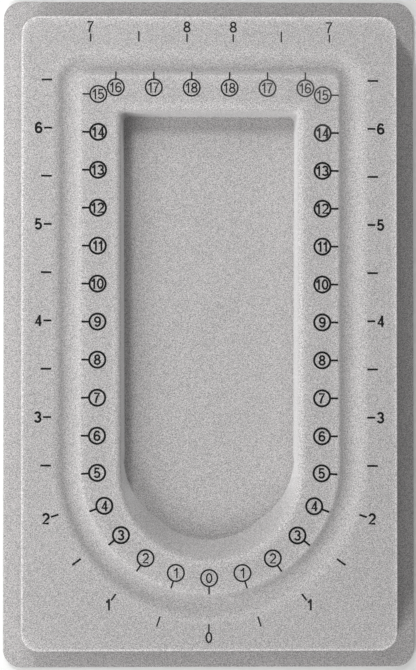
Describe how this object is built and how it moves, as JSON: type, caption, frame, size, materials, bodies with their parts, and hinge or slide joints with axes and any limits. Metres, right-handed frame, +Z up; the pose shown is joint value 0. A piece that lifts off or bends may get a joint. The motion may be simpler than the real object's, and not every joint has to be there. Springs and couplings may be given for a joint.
{
  "type": "bead board",
  "caption": "Low flocked tray for laying out beads: a horseshoe groove beside inch and centimetre scales, round a deep bead well with a scooped end, on a flat flange.",
  "frame": {"origin": "under the middle of the board, on the surface that it lies on", "axes": "+X across the board to the right, +Y along it towards the square end of the groove, +Z up out of the flocked face"},
  "size_m": [0.1098, 0.178, 0.011],
  "materials": {
    "polystyrene_sheet": "vacuum-formed high-impact polystyrene, satin where it met the mould",
    "flock_adhesive": "dried water-based flocking adhesive",
    "grey_flock": "short grey flock fibres standing in the adhesive",
    "printing_ink": "black screen ink printed on the tips of the flock"
  },
  "bodies": {
    "root": {"formed_tray": "polystyrene_sheet", "adhesive_film": "flock_adhesive", "flock_coat": "grey_flock"}
  },
  "joints": []
}
